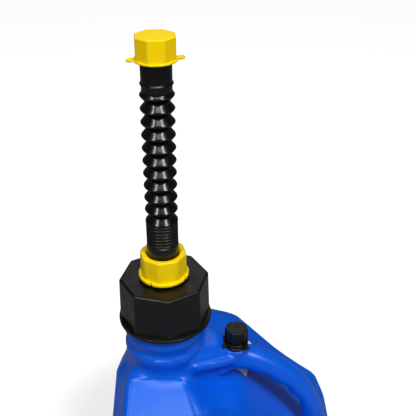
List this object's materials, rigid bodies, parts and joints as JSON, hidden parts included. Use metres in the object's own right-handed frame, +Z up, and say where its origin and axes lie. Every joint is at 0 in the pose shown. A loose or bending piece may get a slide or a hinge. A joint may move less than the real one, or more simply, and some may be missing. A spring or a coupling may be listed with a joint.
{
  "type": "fuel jug with flexible spout",
  "caption": "Moulded blue fuel jug with a carry handle, octagonal screw cap, clamping collar, bending bellows spout with its own cap, and a screw vent.",
  "frame": {"origin": "middle of the footprint, on the surface that the jug stands on", "axes": "+Z up, +X back along the handle from the neck, +Y to the jug's left as seen looking back along the handle"},
  "size_m": [0.309, 0.254, 0.7511],
  "materials": {
    "jug_plastic": "satin, finely pebbled blow-moulded polyethylene",
    "cap_plastic": "satin black moulded plastic",
    "yellow_plastic": "semi-gloss yellow moulded plastic",
    "spout_plastic": "glossy black flexible plastic",
    "seal_rubber": "matt"
  },
  "bodies": {
    "jug": {"jug_body": "jug_plastic", "vent_fitting": "cap_plastic", "vent_fitting_gasket": "seal_rubber"},
    "main_cap_seal": {"main_cap_gasket": "seal_rubber"},
    "main_cap": {"main_cap": "cap_plastic", "spout_gasket": "seal_rubber"},
    "collar": {"spout_collar": "yellow_plastic"},
    "spout_base": {"spout_base": "spout_plastic"},
    "bellows_01": {"bellows_01": "spout_plastic"},
    "bellows_02": {"bellows_02": "spout_plastic"},
    "bellows_03": {"bellows_03": "spout_plastic"},
    "bellows_04": {"bellows_04": "spout_plastic"},
    "bellows_05": {"bellows_05": "spout_plastic"},
    "bellows_06": {"bellows_06": "spout_plastic"},
    "bellows_07": {"bellows_07": "spout_plastic"},
    "bellows_08": {"bellows_08": "spout_plastic"},
    "bellows_09": {"bellows_09": "spout_plastic"},
    "bellows_10": {"bellows_10": "spout_plastic"},
    "nozzle": {"nozzle": "spout_plastic"},
    "nozzle_cap_seal": {"nozzle_cap_liner": "seal_rubber"},
    "nozzle_cap": {"nozzle_cap": "yellow_plastic"},
    "vent_cap_seal": {"vent_cap_liner": "seal_rubber"},
    "vent_cap": {"vent_cap": "cap_plastic"}
  },
  "joints": [
    {"name": "main_cap_lift", "type": "slide", "parent": "jug", "child": "main_cap_seal", "axis": [0, 0, 1], "range_m": [0, 0.0101]},
    {"name": "main_cap_turn", "type": "hinge", "parent": "main_cap_seal", "child": "main_cap", "pos_m": [-0.0745, 0, 0.465], "axis": [0, 0, 1], "range_deg": [0, 720]},
    {"name": "collar_turn", "type": "hinge", "parent": "main_cap", "child": "collar", "pos_m": [-0.0745, 0, 0.482], "axis": [0, 0, 1], "range_deg": [0, 540]},
    {"name": "spout_swivel", "type": "hinge", "parent": "main_cap", "child": "spout_base", "pos_m": [-0.0745, 0, 0.492], "axis": [0, 0, 1], "continuous": true},
    {"name": "spout_bend_01", "type": "hinge", "parent": "spout_base", "child": "bellows_01", "pos_m": [-0.0745, 0, 0.5344], "axis": [0, 1, 0], "range_deg": [-8, 8]},
    {"name": "spout_bend_02", "type": "hinge", "parent": "bellows_01", "child": "bellows_02", "pos_m": [-0.0745, 0, 0.54923], "axis": [0, 1, 0], "range_deg": [-8, 8]},
    {"name": "spout_bend_03", "type": "hinge", "parent": "bellows_02", "child": "bellows_03", "pos_m": [-0.0745, 0, 0.56406], "axis": [0, 1, 0], "range_deg": [-8, 8]},
    {"name": "spout_bend_04", "type": "hinge", "parent": "bellows_03", "child": "bellows_04", "pos_m": [-0.0745, 0, 0.57889], "axis": [0, 1, 0], "range_deg": [-8, 8]},
    {"name": "spout_bend_05", "type": "hinge", "parent": "bellows_04", "child": "bellows_05", "pos_m": [-0.0745, 0, 0.59372], "axis": [0, 1, 0], "range_deg": [-8, 8]},
    {"name": "spout_bend_06", "type": "hinge", "parent": "bellows_05", "child": "bellows_06", "pos_m": [-0.0745, 0, 0.60855], "axis": [0, 1, 0], "range_deg": [-8, 8]},
    {"name": "spout_bend_07", "type": "hinge", "parent": "bellows_06", "child": "bellows_07", "pos_m": [-0.0745, 0, 0.62338], "axis": [0, 1, 0], "range_deg": [-8, 8]},
    {"name": "spout_bend_08", "type": "hinge", "parent": "bellows_07", "child": "bellows_08", "pos_m": [-0.0745, 0, 0.63821], "axis": [0, 1, 0], "range_deg": [-8, 8]},
    {"name": "spout_bend_09", "type": "hinge", "parent": "bellows_08", "child": "bellows_09", "pos_m": [-0.0745, 0, 0.65304], "axis": [0, 1, 0], "range_deg": [-8, 8]},
    {"name": "spout_bend_10", "type": "hinge", "parent": "bellows_09", "child": "bellows_10", "pos_m": [-0.0745, 0, 0.66787], "axis": [0, 1, 0], "range_deg": [-8, 8]},
    {"name": "spout_bend_11", "type": "hinge", "parent": "bellows_10", "child": "nozzle", "pos_m": [-0.0745, 0, 0.6827], "axis": [0, 1, 0], "range_deg": [-8, 8]},
    {"name": "nozzle_cap_lift", "type": "slide", "parent": "nozzle", "child": "nozzle_cap_seal", "axis": [0, 0, 1], "range_m": [0, 0.0061]},
    {"name": "nozzle_cap_turn", "type": "hinge", "parent": "nozzle_cap_seal", "child": "nozzle_cap", "pos_m": [-0.0745, 0, 0.735], "axis": [0, 0, 1], "range_deg": [0, 540]},
    {"name": "vent_cap_lift", "type": "slide", "parent": "jug", "child": "vent_cap_seal", "axis": [0, 0, 1], "range_m": [0, 0.0061]},
    {"name": "vent_cap_turn", "type": "hinge", "parent": "vent_cap_seal", "child": "vent_cap", "pos_m": [0.0125, 0, 0.377], "axis": [0, 0, 1], "range_deg": [0, 720]}
  ],
  "couplings": [
    {"joint": "main_cap_lift", "follows": "main_cap_turn", "m_per_rad": 0.00079577},
    {"joint": "nozzle_cap_lift", "follows": "nozzle_cap_turn", "m_per_rad": 0.00063662},
    {"joint": "vent_cap_lift", "follows": "vent_cap_turn", "m_per_rad": 0.00047746},
    {"joint": "spout_bend_02", "follows": "spout_bend_01", "ratio": 1},
    {"joint": "spout_bend_03", "follows": "spout_bend_01", "ratio": 1},
    {"joint": "spout_bend_04", "follows": "spout_bend_01", "ratio": 1},
    {"joint": "spout_bend_05", "follows": "spout_bend_01", "ratio": 1},
    {"joint": "spout_bend_06", "follows": "spout_bend_01", "ratio": 1},
    {"joint": "spout_bend_07", "follows": "spout_bend_01", "ratio": 1},
    {"joint": "spout_bend_08", "follows": "spout_bend_01", "ratio": 1},
    {"joint": "spout_bend_09", "follows": "spout_bend_01", "ratio": 1},
    {"joint": "spout_bend_10", "follows": "spout_bend_01", "ratio": 1},
    {"joint": "spout_bend_11", "follows": "spout_bend_01", "ratio": 1}
  ]
}
